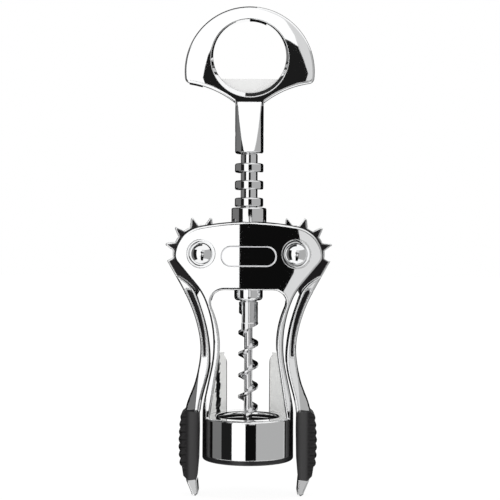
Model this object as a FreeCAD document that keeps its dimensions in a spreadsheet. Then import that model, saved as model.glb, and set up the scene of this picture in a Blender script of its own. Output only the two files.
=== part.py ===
"""Lever (wing) corkscrew: a cast frame with a bottle cup, a ring rack, a worm spindle and two levers.

Millimetres. The origin is on the worm's axis in the plane where the cup rests on the bottle, +Z points up
to the handle, +X to the right-hand lever and -Y to the side with the badge.
"""
import FreeCAD, Part
import math
import os
import re
import Sketcher

SIZES = {
    # bottle cup and its liner
    "cup_radius": 18.65, "cup_top": 17.6, "cup_hole_radius": 12.8, "cup_rim_round": 1.0,
    "socket_radius": 15.5, "liner_wall": 1.5, "lip_height": 2.0, "lip_round": 0.9, "liner_top": 15.2,
    # head and legs, as half widths and heights
    "head_top": 97.2, "head_depth": 15.2, "crown_x": 20.0, "crown_z": 95.2, "crown_radius": 101.0,
    "shoulder_x": 30.2139, "shoulder_z": 83.8, "shoulder_radius": 12.8, "flank_x": 29.1814, "flank_z": 80.507,
    "flank_radius": 4.5, "hip_x": 21.4866, "hip_z": 71.3223, "thigh_x": 17.7582, "thigh_z": 65.1364,
    "hip_radius": 23.4, "waist_x": 14.2, "waist_z": 47.0, "waist_radius": 48.0, "calf_x": 15.2316,
    "calf_z": 37.1022, "foot_x": 17.8978, "foot_z": 24.45, "foot_curve": 35.0, "rim_z": 17.2328,
    "leg_base": 16.2, "edge_round": 1.1, "window_round": 0.8,
    # window between the legs
    "window_top": 69.3, "window_corner_x": 10.0, "window_corner_radius": 5.2, "window_thigh_x": 14.7601,
    "window_thigh_z": 62.0063, "window_waist_radius": 38.51, "window_calf_x": 11.9434,
    "window_calf_z": 40.6751, "window_base_x": 15.8412, "window_base_z": 15.2,
    # cheeks that wrap round behind the legs
    "cheek_start": 6.7, "cheek_x": 8.9, "cheek_corner_z": 38.4, "cheek_top_x": 11.9, "cheek_top_z": 43.0,
    "cheek_rim_x": 14.37, "cheek_corner_radius": 5.0, "cheek_wall": 2.4, "cheek_low_wall": 2.6,
    # guide bush, cavities and pivots in the head
    "bush_radius": 7.25, "bush_foot": 95.0, "bush_top": 102.9, "bush_round": 0.7, "guide_radius": 6.05,
    "pivot_x": 19.3,
    "pivot_z": 84.0, "gear_room_radius": 15.6, "gear_room_depth": 8.2, "recess_radius": 5.7,
    "recess_depth": 1.1, "pin_radius": 2.5, "badge_half": 7.1, "badge_radius": 4.0, "badge_z": 83.0,
    "badge_depth": 0.5, "badge_proud": 0.06,
    # rivets and their dished washers
    "dome_radius": 4.5, "dome_height": 2.25, "dome_curve": 5.62, "dome_flat": 0.2,
    "washer_radius": 5.6, "washer_thickness": 0.9,
    # ring rack
    "rack_pitch": 7.04, "core_radius": 3.5, "ring_radius": 5.9, "ring_thickness": 3.7, "ring_round": 0.7,
    "rack_top": 124.5, "rack_foot": 64.9, "foot_ring_top": 71.8, "foot_round": 1.6, "rack_bore": 2.36,
    # spindle parts
    "rod_radius": 2.3, "rod_foot": 60.9, "rod_top": 139.0, "thrust_radius": 3.4, "thrust_thickness": 0.45,
    "thrust_gap": 0.05, "handle_pin_radius": 1.0, "handle_pin_z": 133.0, "worm_pin_radius": 0.7,
    "worm_pin_z": 62.6,
    # handle
    "neck_radius": 5.875, "neck_foot": 125.1, "neck_top": 148.0, "neck_round": 0.9, "cove_z": 145.5881,
    "cove_radius": 39.3, "handle_thickness": 6.6, "arch_z": 158.6, "arch_radius": 26.6, "arch_end_x": 26.4406,
    "arch_end_z": 155.6921, "lobe_radius": 2.3, "lobe_end_x": 24.4941, "lobe_end_z": 153.6688,
    "neck_flat_y": 5.7,
    "neck_flat_top": 146.0, "hole_z": 164.9, "hole_radius": 14.95,
    "hole_rim_radius": 15.9, "hole_rim_drop": 0.9, "hole_land": 4.0, "handle_round": 1.1,
    # cap lifter
    "lifter_thickness": 1.6, "lifter_edge_z": 155.7, "lifter_seat_radius": 15.9, "lifter_half": 12.97,
    # worm
    "shank_radius": 3.925, "thread_radius": 4.15, "worm_core_radius": 1.7, "worm_pitch": 8.77,
    "shank_foot": 52.0, "thread_taper_z": 19.2, "worm_tip_z": 15.5, "blade_root": 2.5, "blade_rim": 1.1,
    "groove_start_z": 7.85, "groove_length": 49.35, "groove_rim": 4.6,
    # levers, measured from their pivots: x outwards, z up
    "tooth_count": 8, "tooth_span": 210.0, "tooth_first_angle": -45.0, "tooth_tip_radius": 15.1,
    "tooth_root_radius": 11.7, "tooth_sink": 0.6, "tooth_root_half": 2.0, "tooth_tip_half": 0.62,
    "tooth_round": 0.5, "gear_thickness": 7.5, "arm_depth": 10.4, "arm_edge_round": 0.9,
    "arm_curve_length": 30.0, "pin_gap": 0.06, "groove_depth": 1.3,
    # rubber grips
    "grip_depth": 14.0, "grip_low": 0.45, "grip_high": 8.9, "grip_round": 2.4, "grip_open_z": 22.0,
    "ridge_pitch": 3.07, "ridge_height": 1.0, "ridge_top_z": 17.85,
}

os.makedirs("parts", exist_ok=True)
doc = FreeCAD.newDocument("lever_corkscrew")
sheet = doc.addObject("Spreadsheet::Sheet", "Sizes")
for row, (alias, number) in enumerate(SIZES.items(), start=1):
    sheet.set(f"A{row}", alias)
    sheet.set(f"B{row}", str(number))
    sheet.setAlias(f"B{row}", alias)
doc.recompute()

ON_X_AXIS, ON_Z_AXIS, CENTRE = -1, -2, 3
Vector = FreeCAD.Vector
subparts = []


def value(formula):
    """The number that a formula of cell names, numbers, +, - and * stands for."""
    total = 0.0
    for term in str(formula).replace(" ", "").replace("-", "+-").split("+"):
        if not term:
            continue
        product = -1.0 if term.startswith("-") else 1.0
        for factor in term.lstrip("-").split("*"):
            product *= float(factor) if factor[0].isdigit() else float(sheet.get(factor))
        total += product
    return total


def bound(formula):
    """The same formula as an expression that reads the sheet's cells."""
    return re.sub(r"[a-z]\w*", lambda name: "Sizes." + name[0], str(formula))


def named_body(name):
    body = doc.addObject("PartDesign::Body", name)
    body.Label = name
    subparts.append(body)
    return body


def origin_item(body, role):
    return next(item for item in body.Origin.OriginFeatures if item.Role == role)


def sketch(body, name, plane="XZ_Plane", lift=None):
    made = body.newObject("Sketcher::SketchObject", body.Label + "_" + name)
    made.AttachmentSupport = [(origin_item(body, plane), "")]
    made.MapMode = "FlatFace"
    if lift is not None:
        made.setExpression("AttachmentOffset.Base.z", bound(lift))
    return made


def fix_point(made, edge, end, across, up):
    """Ties one point of a sketch to the sketch's origin by two formulas."""
    for kind, formula, axis in (("DistanceX", across, ON_Z_AXIS), ("DistanceY", up, ON_X_AXIS)):
        distance = value(formula)
        if abs(distance) < 1e-9:
            made.addConstraint(Sketcher.Constraint("PointOnObject", edge, end, axis))
        else:
            index = made.addConstraint(Sketcher.Constraint(kind, -1, 1, edge, end, distance))
            made.setExpression(f"Constraints[{index}]", bound(formula))


def circle(made, across, up, radius):
    edge = made.addGeometry(Part.Circle(Vector(value(across), value(up), 0), Vector(0, 0, 1), value(radius)))
    fix_point(made, edge, CENTRE, across, up)
    index = made.addConstraint(Sketcher.Constraint("Radius", edge, value(radius)))
    made.setExpression(f"Constraints[{index}]", bound(radius))


def outline(made, corners):
    """A closed outline. A corner is (across, up) or (across, up, radius), where the edge that leaves it is
    an arc: it turns left where the radius is positive and right where it is negative."""
    joints = []
    for here, there in zip(corners, corners[1:] + corners[:1]):
        start = Vector(value(here[0]), value(here[1]), 0)
        finish = Vector(value(there[0]), value(there[1]), 0)
        if len(here) == 2:
            edge = made.addGeometry(Part.LineSegment(start, finish))
            joints.append((edge, 1, 2))
            continue
        radius = value(here[2])
        chord = finish - start
        sagitta = abs(radius) - math.sqrt(radius ** 2 - (chord.Length / 2) ** 2)
        right = Vector(chord.y, -chord.x, 0).normalize()
        middle = (start + finish) / 2 + right * math.copysign(sagitta, radius)
        edge = made.addGeometry(Part.Arc(start, middle, finish))
        joints.append((edge, 1, 2) if radius > 0 else (edge, 2, 1))
        index = made.addConstraint(Sketcher.Constraint("Radius", edge, abs(radius)))
        made.setExpression(f"Constraints[{index}]", bound(str(here[2]).lstrip("-")))
    for (edge, first, last), (following, entry, _), corner in zip(joints, joints[1:] + joints[:1], corners):
        made.addConstraint(Sketcher.Constraint("Coincident", edge, last, following, entry))
        fix_point(made, edge, first, corner[0], corner[1])


def free_outline(made, curves):
    """A closed outline of curves whose ends meet, held where they are drawn."""
    for curve in curves:
        edge = made.addGeometry(curve)
        made.addConstraint(Sketcher.Constraint("Block", edge))


def opposite(formula):
    """The formula with the sign of every term changed."""
    flipped = formula.translate(str.maketrans("+-", "-+"))
    return flipped[1:] if flipped.startswith("+") else "-" + flipped


def mirrored(corners):
    """Corners from the top middle down the right side, followed by their mirror image back up."""
    left = []
    for index in range(len(corners) - 1, -1, -1):
        across, up = corners[index][:2]
        radius = corners[index - 1][2:] if index else ()
        left.append((opposite(across), up) + radius)
    return list(corners) + left


def box_outline(left, right, low, high):
    return [(left, low), (right, low), (right, high), (left, high)]


def extrude(body, kind, made, length, both_ways=True, backwards=False):
    feature = body.newObject("PartDesign::" + kind, made.Name + "_" + kind.lower())
    feature.Profile = made
    feature.setExpression("Length", bound(length))
    feature.SideType = "Symmetric" if both_ways else "One side"
    feature.Reversed = backwards
    return feature


def turn(body, kind, made, axis="Z_Axis", angle=360.0):
    feature = body.newObject("PartDesign::" + kind, made.Name + "_" + kind.lower())
    feature.Profile = made
    feature.ReferenceAxis = (origin_item(body, axis), "")
    feature.Angle = angle
    return feature


def round_edges(body, name, radius, chosen):
    """Rounds the edges of the body's tip that the function chosen picks."""
    doc.recompute()
    base = body.Tip
    picked = [f"Edge{n}" for n, edge in enumerate(base.Shape.Edges, start=1) if chosen(edge)]
    feature = body.newObject("PartDesign::Fillet", body.Label + "_" + name)
    feature.Base = (base, picked)
    feature.setExpression("Radius", bound(radius))
    return feature


def edges_along(made, depth, above):
    """A test for edges higher than above that run along the sketch's outline at the depth given, on both
    sides of the sketch's plane."""
    doc.recompute()
    drawn, reach, floor = made.Shape.copy(), value(depth), value(above) + 0.05

    def chosen(edge):
        box = edge.BoundBox
        if box.YLength > 1e-4 or abs(abs(box.YMin) - reach) > 1e-4 or edge.CenterOfMass.z < floor:
            return False
        middle = edge.valueAt((edge.FirstParameter + edge.LastParameter) / 2)
        return drawn.distToShape(Part.Vertex(middle.x, 0, middle.z))[0] < 1e-3
    return chosen


def revolved_piece(name, corners):
    """A turned piece about the Z axis from one closed outline of radius and height."""
    body = named_body(name)
    made = sketch(body, "section")
    outline(made, corners)
    turn(body, "Revolution", made)
    return body


def pill(made):
    """The badge's outline, a bar with two round ends."""
    outline(made, [("-badge_half", "badge_z-badge_radius"),
                   ("badge_half", "badge_z-badge_radius", "badge_radius"),
                   ("badge_half+badge_radius", "badge_z", "badge_radius"),
                   ("badge_half", "badge_z+badge_radius"),
                   ("-badge_half", "badge_z+badge_radius", "badge_radius"),
                   ("-badge_half-badge_radius", "badge_z", "badge_radius")])


# ---- frame: head, legs and bottle cup in one casting
frame = named_body("frame_body")
front = sketch(frame, "front")
outline(front, mirrored([
    ("0", "head_top", "-crown_radius"), ("crown_x", "crown_z", "-shoulder_radius"),
    ("shoulder_x", "shoulder_z", "-flank_radius"), ("flank_x", "flank_z"),
    ("hip_x", "hip_z", "hip_radius"), ("thigh_x", "thigh_z", "waist_radius"),
    ("waist_x", "waist_z", "waist_radius"), ("calf_x", "calf_z"), ("foot_x", "foot_z", "-foot_curve"),
    ("cup_radius", "rim_z"), ("cup_radius", "leg_base")])[:-1])
extrude(frame, "Pad", front, "head_depth")
round_edges(frame, "outer_round", "edge_round", edges_along(front, "0.5*head_depth", "leg_base"))
window = sketch(frame, "window")
outline(window, mirrored([
    ("window_corner_x", "window_top", "-window_corner_radius"),
    ("window_thigh_x", "window_thigh_z", "window_waist_radius"),
    ("window_calf_x", "window_calf_z"), ("window_base_x", "window_base_z")]))
extrude(frame, "Pocket", window, "head_depth+2")
round_edges(frame, "window_edge_round", "window_round", edges_along(window, "0.5*head_depth", "leg_base"))
for name, side in (("left", "-"), ("right", "")):
    room = sketch(frame, name + "_gear_room")
    circle(room, side + "pivot_x", "pivot_z", "gear_room_radius")
    extrude(frame, "Pocket", room, "gear_room_depth")
    pivot_hole = sketch(frame, name + "_pivot_hole")
    circle(pivot_hole, side + "pivot_x", "pivot_z", "pin_radius")
    extrude(frame, "Pocket", pivot_hole, "2*head_depth")
    for face, lift in (("front", "0.5*head_depth"), ("rear", "recess_depth-0.5*head_depth")):
        recess = sketch(frame, f"{name}_{face}_recess", lift=lift)
        circle(recess, side + "pivot_x", "pivot_z", "recess_radius")
        extrude(frame, "Pocket", recess, "recess_depth", both_ways=False)
badge_seat = sketch(frame, "badge_seat", lift="0.5*head_depth")
pill(badge_seat)
extrude(frame, "Pocket", badge_seat, "badge_depth", both_ways=False)
trim = sketch(frame, "foot_trim")
outline(trim, [("cup_radius", "leg_base-2"), ("cup_radius+6", "leg_base-2"), ("cup_radius+6", "thigh_z-3"),
               ("cup_radius", "thigh_z-3")])
turn(frame, "Groove", trim)
cup = sketch(frame, "cup")
outline(cup, [("cup_radius", "lip_height"), ("cup_radius", "cup_top-cup_rim_round", "cup_rim_round"),
              ("cup_radius-cup_rim_round", "cup_top"), ("cup_hole_radius+cup_rim_round", "cup_top",
                                                        "cup_rim_round"),
              ("cup_hole_radius", "cup_top-cup_rim_round"), ("cup_hole_radius", "liner_top"),
              ("socket_radius+liner_wall", "liner_top"), ("socket_radius+liner_wall", "lip_height")])
turn(frame, "Revolution", cup)
cheeks = sketch(frame, "cheeks")
outline(cheeks, [("cup_radius-0.05", "leg_base"), ("cup_radius-0.05", "rim_z", "foot_curve"),
                 ("foot_x", "foot_z"), ("calf_x", "calf_z", "-waist_radius"), ("cheek_rim_x", "cheek_top_z"),
                 ("cheek_rim_x-cheek_wall", "cheek_top_z"), ("calf_x-cheek_wall", "calf_z"),
                 ("foot_x-cheek_low_wall", "foot_z"), ("cup_radius-cheek_low_wall", "leg_base")])
turn(frame, "Revolution", cheeks, angle=180.0)
for name, radius, foot in (("guide", "guide_radius", "window_top-2"),
                           ("bush_seat", "bush_radius", "bush_foot")):
    bore = sketch(frame, name, "XY_Plane", "bush_top")
    circle(bore, "0", "0", radius)
    extrude(frame, "Pocket", bore, "bush_top-" + foot.replace("-", "+"), both_ways=False)
cheek_gap = sketch(frame, "cheek_gap", lift="-cheek_start")
outline(cheek_gap, [("-cheek_x", "cup_top"), ("cheek_x", "cup_top"),
                    ("cheek_x", "cheek_corner_z", "-cheek_corner_radius"), ("cheek_top_x", "cheek_top_z"),
                    ("cheek_top_x", "cheek_top_z+2"), ("-cheek_top_x", "cheek_top_z+2"),
                    ("-cheek_top_x", "cheek_top_z", "-cheek_corner_radius"),
                    ("-cheek_x", "cheek_corner_z")])
extrude(frame, "Pocket", cheek_gap, "cup_radius", both_ways=False)

# ---- ring rack
ring_half = "0.5*ring_thickness"
rack_section = [("rack_bore", "rack_foot"), ("ring_radius-foot_round", "rack_foot", "foot_round"),
                ("ring_radius", "rack_foot+foot_round"), ("ring_radius", "foot_ring_top-ring_round",
                                                          "ring_round"),
                ("ring_radius-ring_round", "foot_ring_top"), ("core_radius", "foot_ring_top")]
for ring in range(-1, 6):
    middle = f"pivot_z+{ring}*rack_pitch" if ring >= 0 else f"pivot_z-{-ring}*rack_pitch"
    rack_section += [
        ("core_radius", f"{middle}-{ring_half}"),
        ("ring_radius-ring_round", f"{middle}-{ring_half}", "ring_round"),
        ("ring_radius", f"{middle}-{ring_half}+ring_round"),
        ("ring_radius", f"{middle}+{ring_half}-ring_round", "ring_round"),
        ("ring_radius-ring_round", f"{middle}+{ring_half}"), ("core_radius", f"{middle}+{ring_half}")]
rack_section += [("core_radius", "rack_top"), ("rack_bore", "rack_top")]
revolved_piece("rack_sleeve", rack_section)

# ---- liner, badge, washers and rivets, fixed to the frame
revolved_piece("bottle_liner", [
    ("socket_radius", "0"), ("cup_radius-lip_round", "0", "lip_round"), ("cup_radius", "lip_round"),
    ("cup_radius", "lip_height"), ("socket_radius+liner_wall", "lip_height"),
    ("socket_radius+liner_wall", "liner_top"), ("socket_radius", "liner_top")])

revolved_piece("guide_bush", [
    ("guide_radius", "bush_foot"), ("bush_radius", "bush_foot"),
    ("bush_radius", "bush_top-bush_round", "bush_round"), ("bush_radius-bush_round", "bush_top"),
    ("guide_radius", "bush_top")])

badge = named_body("front_badge")
plate = sketch(badge, "plate", lift="0.5*head_depth-badge_depth")
pill(plate)
extrude(badge, "Pad", plate, "badge_depth+badge_proud", both_ways=False)

recess_floor = "0.5*head_depth-recess_depth"
head_base = recess_floor + "+0.5*washer_thickness"
head_crown = head_base + "+dome_height"

for name, side in (("left", -1), ("right", 1)):
    place = Vector(side * value("pivot_x"), 0, value("pivot_z"))
    rivet = named_body(name + "_pivot_rivet")
    section = sketch(rivet, "section", "XY_Plane")
    outline(section, [
        ("0", opposite(head_crown)), ("dome_flat", opposite(head_crown), "dome_curve"),
        ("dome_radius", opposite(head_base)), ("pin_radius", opposite(head_base)), ("pin_radius", head_base),
        ("dome_radius", head_base, "dome_curve"), ("dome_flat", head_crown), ("0", head_crown)])
    turn(rivet, "Revolution", section, "Y_Axis")
    rivet.Placement.Base = place
    for face, sign, back in (("front", "-", "+"), ("rear", "", "-")):
        washer = named_body(f"{name}_{face}_washer")
        section = sketch(washer, "section", "XY_Plane")
        seat = f"{sign}0.5*head_depth{back}recess_depth"
        out = "-" if sign else "+"
        outline(section, [
            ("pin_radius", seat), ("washer_radius", seat), ("washer_radius", f"{seat}{out}washer_thickness"),
            ("washer_radius-0.4", f"{seat}{out}washer_thickness"),
            ("dome_radius+0.1", f"{seat}{out}0.5*washer_thickness"),
            ("pin_radius", f"{seat}{out}0.5*washer_thickness")])
        turn(washer, "Revolution", section, "Y_Axis")
        washer.Placement.Base = place

# ---- spindle: rod, pins, thrust washers, handle, cap lifter and worm
def rod(name, radius, low, high):
    return revolved_piece(name, [("0", low), (radius, low), (radius, high), ("0", high)])


def cross_pin(name, radius, height, length):
    body = named_body(name)
    made = sketch(body, "section", "YZ_Plane")
    circle(made, "0", height, radius)
    extrude(body, "Pad", made, length)


def drill_across(body, name, radius, height):
    made = sketch(body, name, "YZ_Plane")
    circle(made, "0", height, radius)
    extrude(body, "Pocket", made, "4*neck_radius")


spindle = rod("spindle_rod", "rod_radius", "rod_foot", "rod_top")
drill_across(spindle, "handle_pin_hole", "handle_pin_radius", "handle_pin_z")
drill_across(spindle, "worm_pin_hole", "worm_pin_radius", "worm_pin_z")
cross_pin("handle_pin", "handle_pin_radius", "handle_pin_z", "2*neck_radius-0.2")
cross_pin("worm_pin", "worm_pin_radius", "worm_pin_z", "2*shank_radius-0.2")
for name, low in (("upper_thrust_washer", "rack_top+thrust_gap"),
                  ("lower_thrust_washer", "rack_foot-thrust_gap-thrust_thickness")):
    revolved_piece(name, [("rod_radius", low), ("thrust_radius", low),
                          ("thrust_radius", low + "+thrust_thickness"),
                          ("rod_radius", low + "+thrust_thickness")])

handle = named_body("handle")
ring = sketch(handle, "ring")
outline(ring, mirrored([
    ("0", "arch_z+arch_radius", "-arch_radius"), ("arch_end_x", "arch_end_z", "-lobe_radius"),
    ("lobe_end_x", "lobe_end_z", "cove_radius"), ("neck_radius", "cove_z"),
    ("neck_radius", "cove_z-1")])[:-1])
extrude(handle, "Pad", ring, "handle_thickness")
round_edges(handle, "outer_round", "handle_round", edges_along(ring, "0.5*handle_thickness", "cove_z"))
neck = sketch(handle, "neck")
outline(neck, [("0", "neck_foot"), ("neck_radius-neck_round", "neck_foot", "neck_round"),
               ("neck_radius", "neck_foot+neck_round"), ("neck_radius", "neck_top"), ("0", "neck_top")])
turn(handle, "Revolution", neck)
for name, side in (("front", "-"), ("rear", "")):
    flat = sketch(handle, name + "_flat", "YZ_Plane")
    outline(flat, [(side + "neck_flat_y", "neck_foot-1"), (side + "0.5*handle_thickness", "neck_flat_top"),
                   (side + "0.5*handle_thickness", "neck_top+1"), (side + "2*neck_radius", "neck_top+1"),
                   (side + "2*neck_radius", "neck_foot-1")])
    extrude(handle, "Pocket", flat, "4*neck_radius")
hole = sketch(handle, "hole")
circle(hole, "0", "hole_z", "hole_radius")
extrude(handle, "Pocket", hole, "2*handle_thickness")
for name, side in (("front", ""), ("rear", "-")):
    land = sketch(handle, name + "_land", lift=side + "0.5*hole_land")
    circle(land, "0", "hole_z", "hole_radius")
    rim = sketch(handle, name + "_rim", lift=side + "0.5*handle_thickness")
    circle(rim, "0", "hole_z-hole_rim_drop", "hole_rim_radius")
    bevel = handle.newObject("PartDesign::SubtractiveLoft", f"handle_{name}_bevel")
    bevel.Profile = land
    bevel.Sections = [rim]
lifter_seat = [("-lifter_half", "lifter_edge_z", "lifter_seat_radius"), ("lifter_half", "lifter_edge_z")]
seat = sketch(handle, "lifter_seat")
outline(seat, lifter_seat)
extrude(handle, "Pocket", seat, "lifter_thickness")
bore = sketch(handle, "rod_bore", "XY_Plane", "neck_foot")
circle(bore, "0", "0", "rod_radius")
extrude(handle, "Pocket", bore, "rod_top-neck_foot", both_ways=False, backwards=True)
drill_across(handle, "pin_hole", "handle_pin_radius", "handle_pin_z")

lifter = named_body("cap_lifter")
tongue = sketch(lifter, "tongue")
outline(tongue, lifter_seat)
extrude(lifter, "Pad", tongue, "lifter_thickness")

worm = named_body("worm")
blank = sketch(worm, "blank")
top = "rack_foot-2*thrust_gap-thrust_thickness"
outline(blank, [("0", "worm_tip_z"), ("0.6", "worm_tip_z+0.4"), ("thread_radius", "thread_taper_z"),
                ("thread_radius", "shank_foot+3.5"), ("shank_radius", "shank_foot+4"),
                ("shank_radius", top), ("rod_radius", top), ("rod_radius", "rod_foot"), ("0", "rod_foot")])
turn(worm, "Revolution", blank)
groove = sketch(worm, "groove")
root_half = "0.5*worm_pitch-0.5*blade_root"
rim_half = "0.5*worm_pitch-0.25*blade_rim"
outline(groove, [("worm_core_radius", "groove_start_z-0.5*worm_pitch+0.5*blade_root"),
                 ("groove_rim", "groove_start_z-0.5*worm_pitch+0.25*blade_rim"),
                 ("groove_rim", "groove_start_z+" + rim_half),
                 ("worm_core_radius", "groove_start_z+" + root_half)])
thread = worm.newObject("PartDesign::SubtractiveHelix", "worm_thread")
thread.Profile = groove
thread.ReferenceAxis = (origin_item(worm, "Z_Axis"), "")
thread.Mode = "pitch-height-angle"
thread.setExpression("Pitch", bound("worm_pitch"))
thread.setExpression("Height", bound("groove_length"))
drill_across(worm, "pin_hole", "worm_pin_radius", "worm_pin_z")

# ---- levers with their rubber grips, drawn about the pivot with x pointing outwards and z up
ARM_OUTER = [(7.3, -14.8), (3.4, -23.3), (1.1, -31.2), (0.2, -37.8), (1.0, -46.3), (3.0, -54.1), (5.3, -60.0),
             (6.2, -63.72)]
ARM_INNER = [(1.6, -16.8), (-0.3, -22.4), (-2.1, -28.4), (-3.7, -37.4), (-3.9, -44.8), (-2.6, -51.8),
             (0.0, -62.5), (0.2, -64.4)]
ARM_BROW = [(10.4, -9.1), (6.2, -11.5), (1.6, -16.8)]
ARM_CORE_INNER = [(0.2, -64.4), (1.7, -64.2), (1.7, -90.6), (1.35, -91.9), (0.9, -97.2)]
ARM_CORE_OUTER = [(3.5, -97.2), (5.8, -91.9), (5.0, -90.6), (5.0, -63.86), (6.2, -63.72)]
ARM_TIP = (2.2, -98.6)
HEEL = [(0, 2.0), (10.9, -1.2), (14.0, -2.9), (7.3, -14.8), (6.5, -16.6), (1.0, -18.5), (1.6, -16.8),
        (-1.0, -11.0), (0, 2.0)]
HOLLOW_OUTER = [(6.4, -14.4), (3.1, -21.6), (0.9, -28.4), (-0.5, -35.0), (-0.9, -41.8)]
HOLLOW_INNER = [(4.2, -14.4), (1.0, -21.6), (-1.0, -29.0), (-1.9, -36.0), (-2.0, -41.8)]
GRIP_CRESTS = [8.1, 8.5, 8.7, 8.85, 8.85, 8.7, 8.4]
GRIP_INNER = [(6.2, -63.8), (0.65, -64.4), (0.5, -72.0), (0.75, -84.0), (1.4, -91.5), (4.9, -91.9),
              (6.8, -89.9)]


def local(point, side):
    return Vector(side * point[0], point[1], 0)


def spline(points, side):
    curve = Part.BSplineCurve()
    curve.interpolate([local(point, side) for point in points])
    return curve


def segments(points, side):
    return [Part.LineSegment(local(here, side), local(there, side))
            for here, there in zip(points, points[1:])]


def arc(points, side):
    return Part.Arc(*(local(point, side) for point in points))


def long_edges(depth, length):
    """A test for edges longer than length along a body's faces at the depth given."""
    reach, least = value(depth), value(length)
    return lambda edge: (edge.BoundBox.YLength < 1e-4 and abs(abs(edge.BoundBox.YMin) - reach) < 1e-4
                         and edge.BoundBox.ZLength > least)


def tooth_outline(side):
    """The first tooth, a tapered bar with a round tip that starts inside the hub."""
    root, tip = value("tooth_root_radius-tooth_sink"), value("tooth_tip_radius")
    flank = value("tooth_tip_radius-tooth_round")
    half_root, half_tip = value("tooth_root_half"), value("tooth_tip_half")
    angle = math.radians(value("tooth_first_angle"))
    straight = [(root, -half_root), (flank, -half_tip), (tip, 0), (flank, half_tip), (root, half_root)]
    placed = [(-r * math.cos(angle) + w * math.sin(angle), r * math.sin(angle) + w * math.cos(angle))
              for r, w in straight]
    return segments(placed[:2], side) + [arc(placed[1:4], side)] + segments(placed[3:] + placed[:1], side)


def lever(name, side):
    body = named_body(name)
    hub = sketch(body, "hub")
    circle(hub, "0", "0", "tooth_root_radius")
    extrude(body, "Pad", hub, "gear_thickness")
    heel = sketch(body, "heel")
    free_outline(heel, segments(HEEL, side))
    extrude(body, "Pad", heel, "gear_thickness")
    arm = sketch(body, "arm")
    tip = arc([ARM_CORE_INNER[-1], ARM_TIP, ARM_CORE_OUTER[0]], side)
    free_outline(arm, [arc(ARM_BROW, side), spline(ARM_INNER, side)] + segments(ARM_CORE_INNER, side) + [tip]
                 + segments(ARM_CORE_OUTER, side) + [spline(ARM_OUTER[::-1], side)]
                 + segments([ARM_OUTER[0], ARM_BROW[0]], side))
    extrude(body, "Pad", arm, "arm_depth")
    round_edges(body, "arm_round", "arm_edge_round", long_edges("0.5*arm_depth", "arm_curve_length"))
    for face, lift in (("front", "0.5*arm_depth"), ("rear", "groove_depth-0.5*arm_depth")):
        hollow = sketch(body, face + "_hollow", lift=lift)
        free_outline(hollow, [spline(HOLLOW_OUTER, side), spline(HOLLOW_INNER[::-1], side)]
                     + segments([HOLLOW_OUTER[-1], HOLLOW_INNER[-1]], side)
                     + segments([HOLLOW_INNER[0], HOLLOW_OUTER[0]], side))
        extrude(body, "Pocket", hollow, "groove_depth", both_ways=False)
    tooth = sketch(body, "tooth")
    free_outline(tooth, tooth_outline(side))
    one = extrude(body, "Pad", tooth, "gear_thickness")
    ring = body.newObject("PartDesign::PolarPattern", name + "_teeth")
    ring.Originals = [one]
    ring.Axis = (origin_item(body, "Y_Axis"), "")
    ring.setExpression("Angle", "Sizes.tooth_span")
    ring.setExpression("Occurrences", "Sizes.tooth_count")
    ring.Reversed = side < 0
    body.Tip = ring
    pivot = sketch(body, "pivot")
    circle(pivot, "0", "0", "pin_radius+pin_gap")
    extrude(body, "Pocket", pivot, "2*gear_thickness")
    body.Placement.Base = Vector(side * value("pivot_x"), 0, value("pivot_z"))


def rounded_plan(low, high, half, radius, side):
    """A rectangle with round corners, across from low to high and from -half to half the other way."""
    centres = [(high - radius, radius - half), (high - radius, half - radius), (low + radius, half - radius),
               (low + radius, radius - half)]
    corners = [[(x + radius * math.cos(turned), y + radius * math.sin(turned))
                for turned in (math.radians(90 * number + step) for step in (-90, -45, 0))]
               for number, (x, y) in enumerate(centres)]
    curves = []
    for here, there in zip(corners, corners[1:] + corners[:1]):
        curves += [arc(here, side)] + segments([here[-1], there[0]], side)
    return curves


def grip(name, side):
    """A rubber sleeve over the arm, with rounded ridges on its outer side."""
    body = named_body(name)
    step, swell = value("ridge_pitch"), value("ridge_height")
    level = value("ridge_top_z-pivot_z+0.5*ridge_pitch")
    valleys = [(crest - swell, level - number * step) for number, crest in enumerate(GRIP_CRESTS)]
    valleys.append((valleys[-1][0], level - len(GRIP_CRESTS) * step))
    ridges = [arc([here, (crest, (here[1] + there[1]) / 2), there], side)
              for here, there, crest in zip(valleys, valleys[1:], GRIP_CRESTS)]
    shape = sketch(body, "shape")
    free_outline(shape, ridges[::-1] + segments(GRIP_INNER + [valleys[-1]], side)
                 + segments([valleys[0], GRIP_INNER[0]], side))
    extrude(body, "Pad", shape, "grip_depth")
    rounding = sketch(body, "rounding", "XY_Plane", "-pivot_z-grip_depth")
    free_outline(rounding, rounded_plan(value("grip_low"), value("grip_high"), value("0.5*grip_depth"),
                                        value("grip_round"), side))
    margin = value("grip_depth")
    free_outline(rounding, segments([(-margin, -margin), (2 * margin, -margin), (2 * margin, margin),
                                     (-margin, margin), (-margin, -margin)], side))
    extrude(body, "Pocket", rounding, "6*grip_depth")
    core = sketch(body, "core")
    opening = value("grip_open_z-pivot_z")
    inner_top, outer_top = (ARM_CORE_INNER[1][0], opening), (ARM_CORE_OUTER[3][0], opening)
    free_outline(core, segments([inner_top, *ARM_CORE_INNER[2:4], *ARM_CORE_OUTER[1:3], outer_top, inner_top],
                                side))
    extrude(body, "Pocket", core, "arm_depth")
    body.Placement.Base = Vector(side * value("pivot_x"), 0, value("pivot_z"))


for name, side in (("left", -1), ("right", 1)):
    lever(name + "_lever", side)
    grip(name + "_grip", side)

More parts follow.
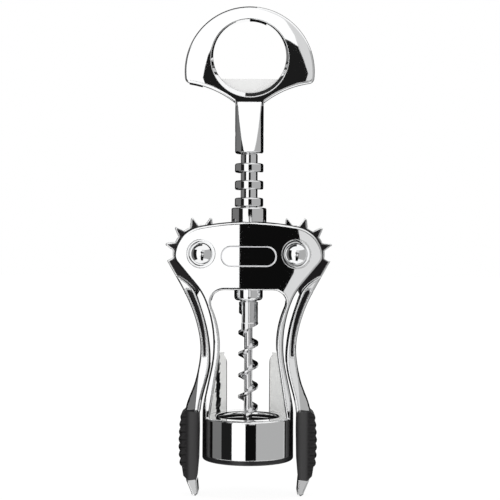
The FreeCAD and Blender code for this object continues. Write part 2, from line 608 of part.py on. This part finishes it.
# ---- checks and files
doc.recompute()
for item in doc.Objects:
    faults = [state for state in item.State if state in ("Invalid", "Error")]
    if faults:
        raise RuntimeError(f"{item.Label}: {faults}")
for piece in subparts:
    if piece.Shape.isNull() or not piece.Shape.isValid():
        raise RuntimeError(f"{piece.Label} has no valid shape")
    piece.Shape.exportStep(f"parts/{piece.Label}.step")
    print(piece.Label, len(piece.Shape.Solids), round(piece.Shape.Volume, 2))
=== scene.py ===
import math

import bpy
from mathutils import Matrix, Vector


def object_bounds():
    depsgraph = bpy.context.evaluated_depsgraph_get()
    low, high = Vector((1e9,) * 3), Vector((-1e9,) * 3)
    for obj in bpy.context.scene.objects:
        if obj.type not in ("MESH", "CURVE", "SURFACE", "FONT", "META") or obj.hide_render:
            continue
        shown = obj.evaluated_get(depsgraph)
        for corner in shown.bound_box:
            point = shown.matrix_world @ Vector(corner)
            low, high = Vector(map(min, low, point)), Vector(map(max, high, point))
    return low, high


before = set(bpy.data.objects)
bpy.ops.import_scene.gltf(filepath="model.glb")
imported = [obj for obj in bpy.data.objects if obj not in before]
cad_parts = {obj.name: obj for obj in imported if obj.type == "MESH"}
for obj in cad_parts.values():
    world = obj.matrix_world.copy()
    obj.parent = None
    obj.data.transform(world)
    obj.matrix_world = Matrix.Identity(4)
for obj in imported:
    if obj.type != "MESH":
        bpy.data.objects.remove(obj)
cad_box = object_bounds()

MM = 0.001
VIEW_HEIGHT = 85.6 * MM
VIEW_SIDE = 0.5 * MM
VIEW_ROLL = -0.3
VIEW_DISTANCE = 493 * MM
LENS = 86.4
WHITE = 1.08
CHROME = (0.96, 0.965, 0.97)


# ---- small helpers
def mesh_piece(name, points, faces):
    mesh = bpy.data.meshes.new(name)
    mesh.from_pydata(points, [], faces)
    mesh.update()
    piece = bpy.data.objects.new(name, mesh)
    bpy.context.scene.collection.objects.link(piece)
    return piece


class Shade:
    """A material's nodes. Inputs are values or other nodes' outputs."""

    def __init__(self, name):
        self.material = bpy.data.materials.new(name)
        self.material.use_nodes = True
        self.nodes, self.links = self.material.node_tree.nodes, self.material.node_tree.links
        self.shader = self.nodes["Principled BSDF"]
        self.place = self.node("ShaderNodeTexCoord").outputs["Object"]

    def node(self, kind, inputs=None, **settings):
        made = self.nodes.new(kind)
        for key, setting in settings.items():
            setattr(made, key, setting)
        for socket, given in (inputs or {}).items():
            if isinstance(given, bpy.types.NodeSocket):
                self.links.new(given, made.inputs[socket])
            else:
                made.inputs[socket].default_value = given
        return made

    def math(self, operation, first, second=0.0):
        return self.node("ShaderNodeMath", {0: first, 1: second}, operation=operation).outputs[0]

    def vector(self, operation, first, second):
        made = self.node("ShaderNodeVectorMath", {0: first, 1: second}, operation=operation)
        return made.outputs["Value" if operation == "DOT_PRODUCT" else "Vector"]

    def ramp(self, value, start, end, low=0.0, high=1.0, **settings):
        """value carried from the range start to end onto the range low to high."""
        made = self.node("ShaderNodeMapRange", {"Value": value, "From Min": start, "From Max": end,
                                                "To Min": low, "To Max": high}, **settings)
        return made.outputs["Result"]

    def mix(self, amount, first, second):
        return self.node("ShaderNodeMixRGB",
                         {"Fac": amount, "Color1": first, "Color2": second}).outputs["Color"]

    def noise(self, scale, detail, roughness=0.5):
        return self.node("ShaderNodeTexNoise", {"Vector": self.place, "Scale": scale, "Detail": detail,
                                                "Roughness": roughness}).outputs["Fac"]

    def split(self, vector):
        return self.node("ShaderNodeSeparateXYZ", {0: vector}).outputs

    def bevel(self, radius, samples):
        return self.node("ShaderNodeBevel", {"Radius": radius}, samples=samples).outputs["Normal"]

    def bump(self, height, strength, distance, normal=None):
        inputs = {"Height": height, "Strength": strength, "Distance": distance}
        if normal:
            inputs["Normal"] = normal
        return self.node("ShaderNodeBump", inputs).outputs["Normal"]

    def face_normal(self):
        return self.node("ShaderNodeNewGeometry").outputs["True Normal"]

    def give(self, socket, source):
        self.links.new(source, self.shader.inputs[socket])

    def fix(self, socket, value):
        self.shader.inputs[socket].default_value = value


def times(shade, first, *others):
    for other in others:
        first = shade.math("MULTIPLY", first, other)
    return first


def grey(level):
    return (level, level, level, 1)


# ---- studio: camera, floor and the cards that the chrome reflects
def make_camera():
    data = bpy.data.cameras.new("camera")
    data.lens = LENS
    data.sensor_width = 36
    camera = bpy.data.objects.new("camera", data)
    camera.location = (VIEW_SIDE, -VIEW_DISTANCE, VIEW_HEIGHT)
    camera.rotation_euler = (math.radians(90), math.radians(VIEW_ROLL), 0)
    bpy.context.scene.collection.objects.link(camera)
    bpy.context.scene.camera = camera


def glow(name, level):
    material = bpy.data.materials.new(name)
    material.use_nodes = True
    nodes = material.node_tree.nodes
    nodes.clear()
    shine = nodes.new("ShaderNodeEmission")
    shine.inputs["Color"].default_value = grey(level)
    shine.inputs["Strength"].default_value = 1.0
    output = nodes.new("ShaderNodeOutputMaterial")
    material.node_tree.links.new(shine.outputs[0], output.inputs[0])
    return material


def hide_from_camera(piece):
    piece.visible_camera = False
    piece.visible_diffuse = False
    piece.visible_shadow = False
    piece.visible_transmission = False


def shell(name, level, across, along, point, steps=4):
    """A curved screen whose points come from two angles in degrees, each running over (start, end)."""
    columns = max(2, int(abs(across[1] - across[0]) / steps))
    rows = max(2, int(abs(along[1] - along[0]) / steps))
    points, faces = [], []
    for i in range(columns + 1):
        for j in range(rows + 1):
            first = math.radians(across[0] + (across[1] - across[0]) * i / columns)
            second = math.radians(along[0] + (along[1] - along[0]) * j / rows)
            points.append(point(first, second))
    for i in range(columns):
        for j in range(rows):
            corner = i * (rows + 1) + j
            faces.append((corner, corner + 1, corner + rows + 2, corner + rows + 1))
    piece = mesh_piece(name, points, faces)
    piece.data.materials.append(glow(name, level))
    hide_from_camera(piece)


def screen(name, level, start, end, low, high, radius=0.9):
    """An upright band round the object, between two bearings counted from the front towards +X."""
    def point(turn, tilt):
        reach = radius * math.cos(tilt)
        return (reach * math.sin(turn), -reach * math.cos(turn), VIEW_HEIGHT + radius * math.sin(tilt))
    shell(name, level, (start, end), (low, high), point)


def back_ring(name, level, inner, outer, start, end, radius=0.95):
    """Part of a dark ring behind the object, inner and outer degrees off the straight-back direction."""
    def point(clock, off):
        return (radius * math.sin(off) * math.cos(clock), radius * math.cos(off),
                VIEW_HEIGHT + radius * math.sin(off) * math.sin(clock))
    shell(name, level, (start, end), (inner, outer), point)


def card(name, level, corners, behind=0.0):
    """A flat card in the camera's plane. Corners are (x, z) in millimetres."""
    y = -VIEW_DISTANCE - behind
    points = [(x * MM - VIEW_SIDE, y, z * MM) for x, z in corners]
    piece = mesh_piece(name, points, [list(range(len(points)))])
    piece.data.materials.append(glow(name, level))
    hide_from_camera(piece)


def make_studio():
    for name, level, start, end, low, high in (
            ("grey_left", 0.17, -135, -69, -1, 35), ("grey_left_low", 0.17, -99, -69, -45, -1),
            ("dark_left", 0.004, -180, -99, -45, -1), ("black_left", 0.012, -69, -40, -45, 30),
            ("white_left", WHITE, -40, -6, -45, 30), ("black_front", 0.004, -6, 20.5, -58, 13),
            ("grey_right", 0.43, 20.5, 103, -40, 30)):
        screen(name, level, start, end, low, high)
    back_ring("dark_back", 0.004, 16, 76, -180, 180)
    back_ring("dark_crown", 0.03, 76, 112, 85, 200)
    for name, level, behind, corners in (
            ("front_white", WHITE, 0.002,
             [(-160, -45), (-22, -45), (-22, 40), (-7.6, 54), (-7.6, 113), (-160, 113)]),
            ("front_grey", 0.72, 0.002,
             [(160, -45), (160, 113), (38, 113), (40.5, 100), (42, 92), (39, 80), (36.5, 67), (30, 55),
              (24, 44), (24, -45)]),
            ("upper_white", WHITE, 0.003,
             [(-250, 190), (-37, 190), (-36.7, 222), (-38.3, 226.5), (-36.7, 235), (-34.3, 244.6),
              (-30.6, 252.3), (-20, 262), (20, 262), (32.7, 257), (39.5, 252.5), (36.5, 261.7),
              (29.9, 272.1), (25.3, 277.8), (22, 300), (22, 420), (-250, 420)]),
            ("upper_grey", 0.69, 0.003,
             [(44, 190), (250, 190), (250, 420), (22, 420), (22, 300), (25.3, 277.8), (29.9, 272.1),
              (36.5, 261.7), (39.5, 252.5), (44.1, 241.8), (47.9, 230.3), (45.9, 223.7), (44, 215)]),
            ("upper_black", 0.012, 0.005, [(-60, 190), (60, 190), (60, 262), (-60, 262)]),
            ("foot_white", 0.6, 0.002, [(-160, -135), (-30, -135), (-30, -95), (-160, -95)]),
            ("foot_grey", 0.5, 0.002, [(30, -135), (160, -135), (160, -95), (30, -95)])):
        card(name, level, corners, behind)
    world = bpy.data.worlds.new("studio")
    bpy.context.scene.world = world
    world.use_nodes = True
    world.node_tree.nodes["Background"].inputs["Color"].default_value = (1, 1, 1, 1)
    world.node_tree.nodes["Background"].inputs["Strength"].default_value = 1.0
    low = cad_box[0][2]
    floor = mesh_piece("floor", [(-4, -4, low), (4, -4, low), (4, 4, low), (-4, 4, low)], [(0, 1, 2, 3)])
    shade = Shade("floor")
    shade.fix("Base Color", grey(0.12))
    shade.fix("Roughness", 0.8)
    shade.fix("Specular IOR Level", 0.0)
    shade.fix("Emission Color", grey(1.0))
    shade.fix("Emission Strength", 0.92)
    floor.data.materials.append(shade.material)
    floor.visible_glossy = False


# ---- materials. Those marked painted imitate light, shade, a reflection or a shape by position on the object.
def painted_cheeks(shade, colour):
    """Light satin plating on the low rear faces that look towards the axis, with a little painted glow:
    painted light. Painted on it: a dark line at the inner edge, painted shade, and a ragged black stripe
    beside the left leg, a painted reflection."""
    x, y, z = shade.split(shade.place)
    level = shade.vector("MULTIPLY", shade.place, (1.0, 1.0, 0.0))
    inward = shade.math("LESS_THAN", shade.vector("DOT_PRODUCT", level, shade.face_normal()), -1.5 * MM)
    under, over = shade.math("LESS_THAN", z, 44 * MM), shade.math("GREATER_THAN", z, 17.7 * MM)
    mask = times(shade, inward, under, over, shade.math("GREATER_THAN", y, 1.5 * MM))
    # Painted shade: a dark line at the inner edge. Painted reflection: a ragged black stripe beside the left
    # leg.
    rim = shade.math("LESS_THAN", shade.math("ABSOLUTE", x), 9.15 * MM)
    sway = times(shade, shade.math("SUBTRACT", shade.noise(420.0, 2.0), 0.5), 2.4 * MM)
    stripe = shade.math("COMPARE", shade.math("ADD", x, sway), -12.6 * MM)
    stripe.node.inputs[2].default_value = 0.85 * MM
    painted_shade_and_reflection = shade.math("MAXIMUM", rim, stripe)
    # Painted light: the light faces glow a little, except on the painted dark line and stripe.
    painted_glow = times(shade, mask, shade.math("SUBTRACT", 1.0, painted_shade_and_reflection))
    shade.give("Metallic", shade.math("SUBTRACT", 1.0, mask))
    shade.give("Emission Strength", times(shade, painted_glow, 0.22))
    shade.fix("Emission Color", (0.97, 0.98, 0.96, 1))
    return shade.mix(mask, colour, shade.mix(painted_shade_and_reflection, (0.86, 0.86, 0.85, 1), (0.012, 0.012, 0.013, 1)))


def painted_outline(shade, normal, colour):
    """Painted reflection: a dark line along the rounded outer edge of the head and legs, the dark
    surroundings that this edge reflects.
    """
    centre = shade.vector("SUBTRACT", shade.place, (0.0, 0.0, 60 * MM))
    flat = shade.vector("MULTIPLY", centre, (1.0, 0.0, 1.0))
    away = shade.math("GREATER_THAN", shade.vector("DOT_PRODUCT", flat, normal), 0.5 * MM)
    edge = shade.ramp(shade.math("ABSOLUTE", shade.split(normal)["Y"]), 0.74, 0.86, 1.0, 0.0)
    above = shade.math("GREATER_THAN", shade.split(shade.place)["Z"], 24 * MM)
    return shade.mix(times(shade, away, above, edge), colour, (0.03, 0.03, 0.032, 1))


def painted_recesses(shade, near_middle, colour):
    """Painted shade and dark reflection: black on flat faces nearer the middle plane than near_middle, the
    gear faces and arm hollows.
    """
    spot = shade.split(shade.place)
    radius = shade.ramp(spot["Z"], 68 * MM, 70 * MM, 0.3 * MM, 1.5 * MM)
    near = shade.math("LESS_THAN", shade.math("ABSOLUTE", spot["Y"]), near_middle)
    facing = shade.math("ABSOLUTE", shade.split(shade.bevel(radius, 12))["Y"])
    return shade.mix(times(shade, near, shade.ramp(facing, 0.97, 0.99)), colour, (0.018, 0.017, 0.018, 1))


def arm_facet(shade, normal):
    """The normal turned outwards below facet_top, for a facet that the arm's shape doesn't have."""
    facet_top, top_width, spread, reach = 47 * MM, 18.9 * MM, 0.093, 3.2 * MM
    spot = shade.split(shade.place)
    drop = shade.math("SUBTRACT", facet_top, spot["Z"])
    border = shade.math("ADD", top_width, times(shade, drop, spread))
    past = shade.math("SUBTRACT", shade.math("ABSOLUTE", spot["X"]), border)
    side = shade.math("SIGN", spot["X"])
    slope = shade.math("ADD", shade.ramp(past, 0.0, reach, 0.95, 1.3), times(shade, side, 0.22))
    below = shade.math("GREATER_THAN", drop, 0.0)
    amount = times(shade, shade.ramp(past, 0.0, 0.25 * MM), slope, below)
    push = shade.node("ShaderNodeCombineXYZ", {0: times(shade, amount, side)}).outputs["Vector"]
    turned = shade.vector("ADD", normal, push)
    return shade.node("ShaderNodeVectorMath", {0: turned}, operation="NORMALIZE").outputs["Vector"]


def badge_outline(shade, colour):
    """A light unplated line round the badge's straight middle and round ends."""
    half_length, line_radius, height = 7.1 * MM, 3.68 * MM, 83.0 * MM
    spot = shade.split(shade.place)
    width = shade.math("ABSOLUTE", spot["X"])
    past = shade.math("MAXIMUM", shade.math("SUBTRACT", width, half_length), 0.0)
    rise = shade.math("SUBTRACT", spot["Z"], height)
    square = shade.math("ADD", times(shade, past, past), times(shade, rise, rise))
    band = shade.math("GREATER_THAN", shade.math("SQRT", square), line_radius)
    shade.give("Metallic", shade.math("SUBTRACT", 1.0, band))
    return shade.mix(band, colour, (0.72, 0.72, 0.74, 1))


def chrome(name, tint, roughness, ripple=0.0, bevel=0.0, recess=0.0, badge_line=False, cheeks=False,
           metallic=1.0):
    """Polished plating: fine polishing haze, tiny waviness and slight tone changes. bevel softens sharp
    edges, recess paints black as painted shade and dark reflection on flat faces nearer the middle plane
    than that, cheeks paints a dark reflection along the frame's outer edge and gives the light rear cheeks a
    painted glow, a painted shade line and a painted black reflection stripe."""
    shade = Shade(name)
    shade.fix("Metallic", metallic)
    shade.give("Roughness", shade.ramp(shade.noise(260.0, 4.0), 0.3, 0.75, roughness * 0.7, roughness * 1.5))
    colour = shade.mix(shade.noise(40.0, 2.0), (*tint, 1), (*(c * 0.97 for c in tint), 1))
    normal = shade.bevel(bevel, 8) if bevel else None
    if recess:
        colour = painted_recesses(shade, recess, colour)
        normal = arm_facet(shade, normal)
    if cheeks:
        colour = painted_cheeks(shade, painted_outline(shade, normal, colour))
    if badge_line:
        colour = badge_outline(shade, colour)
    shade.give("Base Color", colour)
    if ripple:
        normal = shade.bump(shade.noise(90.0, 1.0), ripple, 0.2 * MM, normal)
    if normal:
        shade.give("Normal", normal)
    return shade.material


def ridged_rubber(name):
    """Black rubber with a painted highlight near the arm's inner side, strongest on faces turned along Y,
    and painted shade darkening the grooves of its outer ridges, whose shape is a bump.
    """
    ridge_top, ridge_pitch = 17.85 * MM, 3.07 * MM
    shade = Shade(name)
    shade.fix("Specular IOR Level", 0.22)
    x, y, z = shade.split(shade.place)
    fine = shade.noise(1400.0, 6.0, 0.6)
    shade.give("Roughness", shade.ramp(fine, 0.0, 1.0, 0.36, 0.56))
    width = shade.math("ABSOLUTE", x)
    # Painted highlight: lighter near the arm's inner side.
    painted_highlight = shade.ramp(width, 23.0 * MM, 25.0 * MM, 1.0, 0.0, interpolation_type="SMOOTHSTEP")
    outer = shade.ramp(width, 23.8 * MM, 25.6 * MM, interpolation_type="SMOOTHSTEP")
    turn = times(shade, shade.math("SUBTRACT", z, ridge_top), math.pi / ridge_pitch)
    crest = shade.math("ABSOLUTE", shade.math("SINE", turn))
    # Painted shade: near black in the grooves between the outer ridges.
    painted_groove_shade = times(shade, shade.ramp(crest, 0.0, 0.55, 1.0, 0.0), outer)
    front = shade.math("ABSOLUTE", shade.split(shade.face_normal())["Y"])
    body = shade.mix(times(shade, painted_highlight, front), (0.014, 0.013, 0.014, 1), (0.05, 0.049, 0.05, 1))
    shade.give("Base Color", shade.mix(painted_groove_shade, body, grey(0.001)))
    ridges = shade.bump(times(shade, crest, outer), 0.8, 0.9 * MM)
    shade.give("Normal", shade.bump(fine, 0.35, 0.1 * MM, ridges))
    return shade.material


def dark_plastic(name, colour, roughness, grain_scale, grain):
    shade = Shade(name)
    fine = shade.noise(grain_scale, 6.0, 0.6)
    shade.give("Roughness", shade.ramp(fine, 0.0, 1.0, roughness - 0.08, roughness + 0.08))
    darker, lighter = (tuple(c * factor for c in colour) for factor in (0.8, 1.2))
    shade.give("Base Color", shade.mix(fine, (*darker, 1), (*lighter, 1)))
    shade.give("Normal", shade.bump(fine, grain, 0.1 * MM))
    return shade.material


def give(material, *names):
    for name in names:
        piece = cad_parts[name]
        if not piece.material_slots:
            piece.data.materials.append(material)
        for slot in piece.material_slots:
            slot.material = material


def make_materials():
    give(chrome("cast_chrome", CHROME, 0.012, bevel=0.5 * MM, cheeks=True), "frame_body")
    give(chrome("handle_chrome", CHROME, 0.012, bevel=0.5 * MM), "handle")
    give(chrome("lever_chrome", CHROME, 0.015, bevel=1.0 * MM, recess=4.2 * MM),
         "left_lever", "right_lever")
    give(chrome("turned_chrome", (0.94, 0.945, 0.95), 0.03), "rack_sleeve", "guide_bush",
         *(f"{side}_{part}" for side in ("left", "right")
           for part in ("pivot_rivet", "front_washer", "rear_washer")))
    give(chrome("badge_chrome", CHROME, 0.012, badge_line=True), "front_badge")
    give(chrome("bright_steel", (0.82, 0.82, 0.83), 0.08, ripple=0.2, bevel=0.3 * MM), "worm", "spindle_rod",
         "handle_pin", "worm_pin", "upper_thrust_washer", "lower_thrust_washer")
    give(chrome("satin_steel", (0.86, 0.86, 0.855), 0.45, bevel=0.3 * MM, metallic=0.1), "cap_lifter")
    give(dark_plastic("cup_plastic", (0.012, 0.012, 0.013), 0.3, 900, 0.1), "bottle_liner")
    give(ridged_rubber("grip_rubber"), "left_grip", "right_grip")


make_camera()
make_studio()
make_materials()
bpy.context.scene.view_settings.view_transform = "Standard"
